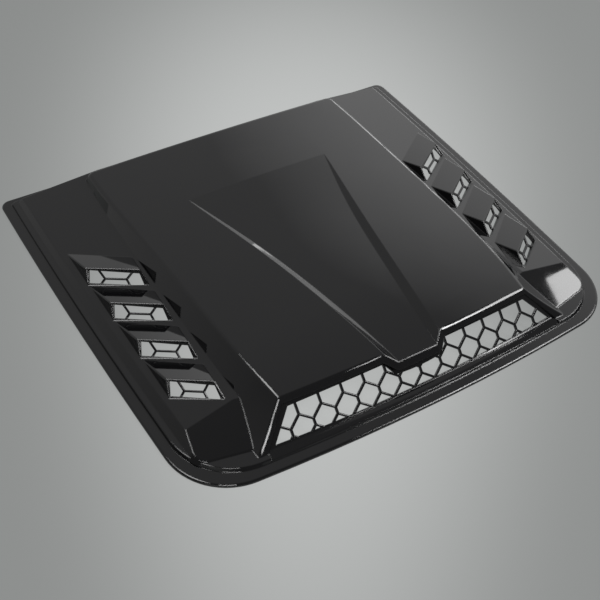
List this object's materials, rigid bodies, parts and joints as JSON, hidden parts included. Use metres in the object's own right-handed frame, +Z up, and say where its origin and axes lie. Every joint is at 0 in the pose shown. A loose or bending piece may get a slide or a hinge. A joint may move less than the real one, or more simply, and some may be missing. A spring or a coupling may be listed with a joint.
{
  "type": "car bonnet vent",
  "caption": "Low bonnet scoop moulding with a flat bonding flange, a honeycomb mesh mouth, a tapering centre channel and rows of louvred side vents.",
  "frame": {"origin": "centre of the underside of the bonding flange", "axes": "+Z up out of the bonnet, +Y towards the windscreen, so the mesh mouth faces -Y, +X across the car"},
  "size_m": [0.6466, 0.5859, 0.0517],
  "materials": {
    "gloss_black": "gloss"
  },
  "bodies": {
    "root": {"bonnet_vent": "gloss_black"}
  },
  "joints": []
}
